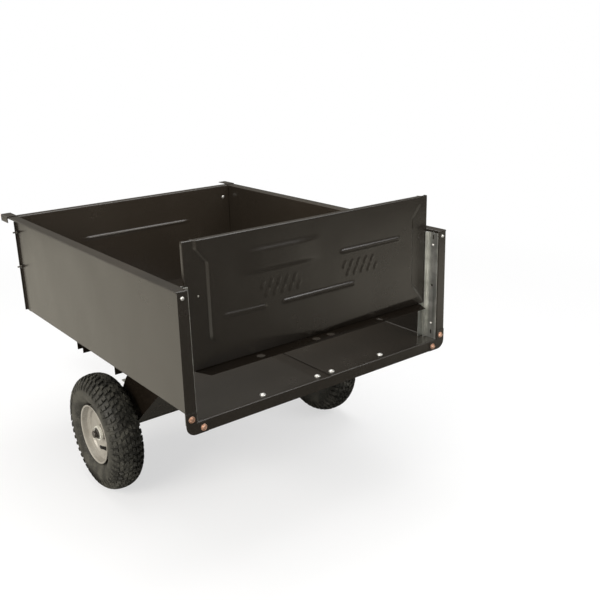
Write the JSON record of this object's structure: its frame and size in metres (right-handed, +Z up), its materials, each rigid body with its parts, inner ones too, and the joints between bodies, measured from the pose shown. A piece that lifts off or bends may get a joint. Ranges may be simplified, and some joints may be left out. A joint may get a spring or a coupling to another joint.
{
  "type": "garden trailer",
  "caption": "Steel tipping garden trailer: open sheet-metal bed with a lift-out tailgate in zinc channels, axle carrier with pneumatic tyres, drawbar, latch and parking leg.",
  "frame": {"origin": "on the ground under the middle of the overall bounding box, with the bed level, the tailgate lifted part way and the parking leg down", "axes": "+Z up, +Y forward along the drawbar to the towing end, so the tailgate faces -Y; +X to the trailer's right-hand side when looking forward"},
  "size_m": [0.854, 1.5026, 0.789],
  "materials": {
    "dark_paint": "very dark brown-black powder coat, semi-gloss",
    "zinc": "bright zinc plating, satin",
    "copper_zinc": "yellow-copper passivated zinc plating",
    "silver_paint": "silver-grey wheel paint, satin",
    "tyre_rubber": "matte black tread rubber",
    "black_rubber": "black rubber valve stem"
  },
  "bodies": {
    "chassis": {"axle_carrier": "dark_paint", "axle": "zinc", "drawbar": "dark_paint", "drawbar_saddle": "dark_paint", "left_drawbar_brace": "dark_paint", "right_drawbar_brace": "dark_paint", "tow_tongue": "dark_paint", "left_hinge_stand": "dark_paint", "right_hinge_stand": "dark_paint", "left_hinge_pin": "zinc", "right_hinge_pin": "zinc", "latch_bracket": "dark_paint", "latch_pin": "zinc", "leg_bracket": "dark_paint", "leg_pin": "zinc", "left_axle_washer": "zinc", "right_axle_washer": "zinc", "left_cotter_pin": "zinc", "right_cotter_pin": "zinc"},
    "bed": {"floor_bolt_1": "zinc", "floor_bolt_2": "zinc", "floor_bolt_3": "zinc", "floor_bolt_4": "zinc", "front_floor_brace": "dark_paint", "front_panel": "dark_paint", "latch_striker": "dark_paint", "left_bed_half": "dark_paint", "left_front_bolt_lower": "zinc", "left_front_bolt_upper": "zinc", "left_front_cap": "dark_paint", "left_gate_channel": "zinc", "left_gusset_bolt_lower": "copper_zinc", "left_gusset_bolt_upper": "copper_zinc", "left_hinge_ear": "dark_paint", "left_post_bolt": "zinc", "left_rear_gusset": "dark_paint", "middle_floor_brace": "dark_paint", "rear_floor_brace": "dark_paint", "right_bed_half": "dark_paint", "right_front_bolt_lower": "zinc", "right_front_bolt_upper": "zinc", "right_front_cap": "dark_paint", "right_gate_channel": "zinc", "right_gusset_bolt_lower": "copper_zinc", "right_gusset_bolt_upper": "copper_zinc", "right_hinge_ear": "dark_paint", "right_post_bolt": "zinc", "right_rear_gusset": "dark_paint"},
    "tailgate": {"tailgate": "dark_paint"},
    "left_wheel": {"left_tyre": "tyre_rubber", "left_rim": "silver_paint", "left_hub_bearing": "zinc", "left_valve_stem": "black_rubber"},
    "right_wheel": {"right_tyre": "tyre_rubber", "right_rim": "silver_paint", "right_hub_bearing": "zinc", "right_valve_stem": "black_rubber"},
    "latch": {"latch_lever": "zinc"},
    "parking_leg": {"parking_leg": "zinc"}
  },
  "joints": [
    {"name": "bed_tip", "type": "hinge", "parent": "chassis", "child": "bed", "pos_m": [0, -0.45875, 0.3765], "axis": [1, 0, 0], "range_deg": [0, 45]},
    {"name": "tailgate_slide", "type": "slide", "parent": "bed", "child": "tailgate", "axis": [0, 0, 1], "range_m": [-0.098, 0.195]},
    {"name": "left_wheel_spin", "type": "hinge", "parent": "chassis", "child": "left_wheel", "pos_m": [-0.38, -0.22175, 0.165], "axis": [1, 0, 0], "continuous": true},
    {"name": "right_wheel_spin", "type": "hinge", "parent": "chassis", "child": "right_wheel", "pos_m": [0.38, -0.22175, 0.165], "axis": [1, 0, 0], "continuous": true},
    {"name": "latch_close", "type": "hinge", "parent": "chassis", "child": "latch", "pos_m": [0, 0.34525, 0.268], "axis": [1, 0, 0], "range_deg": [0, 24]},
    {"name": "leg_fold", "type": "hinge", "parent": "chassis", "child": "parking_leg", "pos_m": [0, 0.38525, 0.165], "axis": [1, 0, 0], "range_deg": [-94, 0]}
  ]
}
